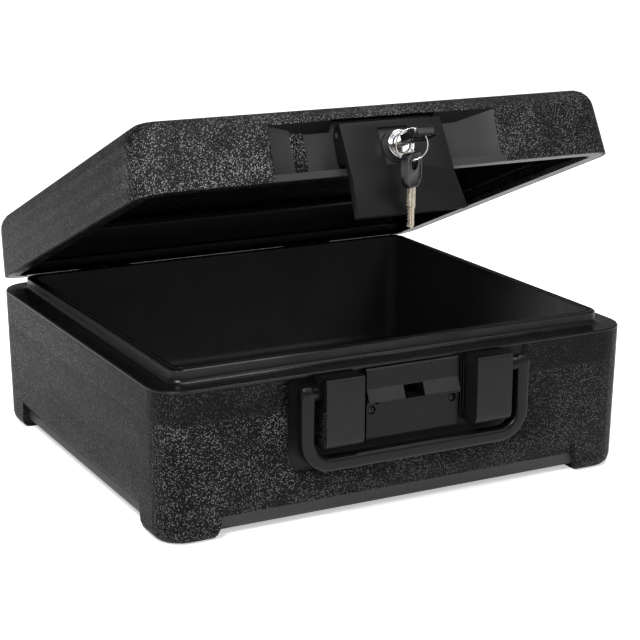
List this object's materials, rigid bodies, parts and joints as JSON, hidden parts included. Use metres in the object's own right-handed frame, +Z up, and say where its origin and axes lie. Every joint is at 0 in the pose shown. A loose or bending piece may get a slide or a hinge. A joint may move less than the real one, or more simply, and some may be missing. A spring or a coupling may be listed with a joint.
{
  "type": "portable fire-resistant security chest",
  "caption": "Portable fire-resistant security chest with hinged lid, latch flap with key cam lock, keys on a ring and a carrying bail.",
  "frame": {"origin": "centre of the bounding box, on the ground under the four feet", "axes": "+X to the chest's right seen from its front, +Y from the front to the hinges, +Z up"},
  "size_m": [0.388, 0.3692, 0.2855],
  "materials": {
    "textured_resin": "black resin, fine pebble texture",
    "smooth_resin": "black resin, smooth satin",
    "mineral_fill": "cast mineral fill, matt",
    "seal_rubber": "black intumescent rubber strip, matt",
    "lock_chrome": "polished chrome plate",
    "key_nickel": "nickel-plated, lightly worn",
    "key_plastic": "black moulded plastic, satin",
    "plated_steel": "zinc-plated steel"
  },
  "bodies": {
    "base": {"base_shell": "textured_resin", "base_fill": "mineral_fill", "base_liner": "smooth_resin", "rim_seal": "seal_rubber", "keeper_plate": "smooth_resin", "left_keeper_screw": "plated_steel", "right_keeper_screw": "plated_steel", "left_handle_pin": "plated_steel", "right_handle_pin": "plated_steel", "base_hinge_screw_1": "plated_steel", "base_hinge_screw_2": "plated_steel", "base_hinge_screw_3": "plated_steel", "base_hinge_screw_4": "plated_steel", "left_hinge_base_leaf": "plated_steel", "right_hinge_base_leaf": "plated_steel", "left_hinge_pin": "plated_steel", "right_hinge_pin": "plated_steel"},
    "handle": {"handle_bail": "smooth_resin"},
    "lid": {"lid_shell": "textured_resin", "lid_fill": "mineral_fill", "lid_liner": "smooth_resin", "lid_hinge_screw_1": "plated_steel", "lid_hinge_screw_2": "plated_steel", "lid_hinge_screw_3": "plated_steel", "lid_hinge_screw_4": "plated_steel", "left_hinge_lid_leaf": "plated_steel", "right_hinge_lid_leaf": "plated_steel", "flap_hinge_pin": "plated_steel"},
    "flap": {"latch_flap": "smooth_resin", "lock_housing": "lock_chrome", "lock_nut": "plated_steel"},
    "plug": {"lock_plug": "lock_chrome", "lock_cam": "plated_steel", "cam_screw": "plated_steel"},
    "key": {"key_head": "key_plastic", "key_blade": "key_nickel"},
    "ring": {"key_ring": "key_nickel"},
    "spare_key": {"spare_key_head": "key_plastic", "spare_key_blade": "key_nickel"}
  },
  "joints": [
    {"name": "lid_hinge", "type": "hinge", "parent": "base", "child": "lid", "pos_m": [0, 0.1794, 0.112], "axis": [-1, 0, 0], "range_deg": [-22, 73]},
    {"name": "flap_hinge", "type": "hinge", "parent": "lid", "child": "flap", "pos_m": [0, -0.12971, 0.26924], "axis": [-1, 0, 0], "range_deg": [-3.5, 75]},
    {"name": "handle_swing", "type": "hinge", "parent": "base", "child": "handle", "pos_m": [0, -0.1768, 0.0995], "axis": [-1, 0, 0], "range_deg": [-6, 105]},
    {"name": "plug_turn", "type": "hinge", "parent": "flap", "child": "plug", "pos_m": [0, -0.1508, 0.26374], "axis": [0, 0.9272, -0.3746], "range_deg": [0, 90]},
    {"name": "key_slide", "type": "slide", "parent": "plug", "child": "key", "axis": [0, -0.9272, 0.3746], "range_m": [0, 0.03]},
    {"name": "ring_swing", "type": "hinge", "parent": "key", "child": "ring", "pos_m": [-0.0066, -0.17527, 0.2774], "axis": [-0.8988, 0.4384, 0], "range_deg": [-2, 20]},
    {"name": "spare_key_swing", "type": "hinge", "parent": "ring", "child": "spare_key", "pos_m": [-0.0066, -0.17527, 0.25645], "axis": [-0.8988, 0.4384, 0], "range_deg": [-2, 30]}
  ]
}
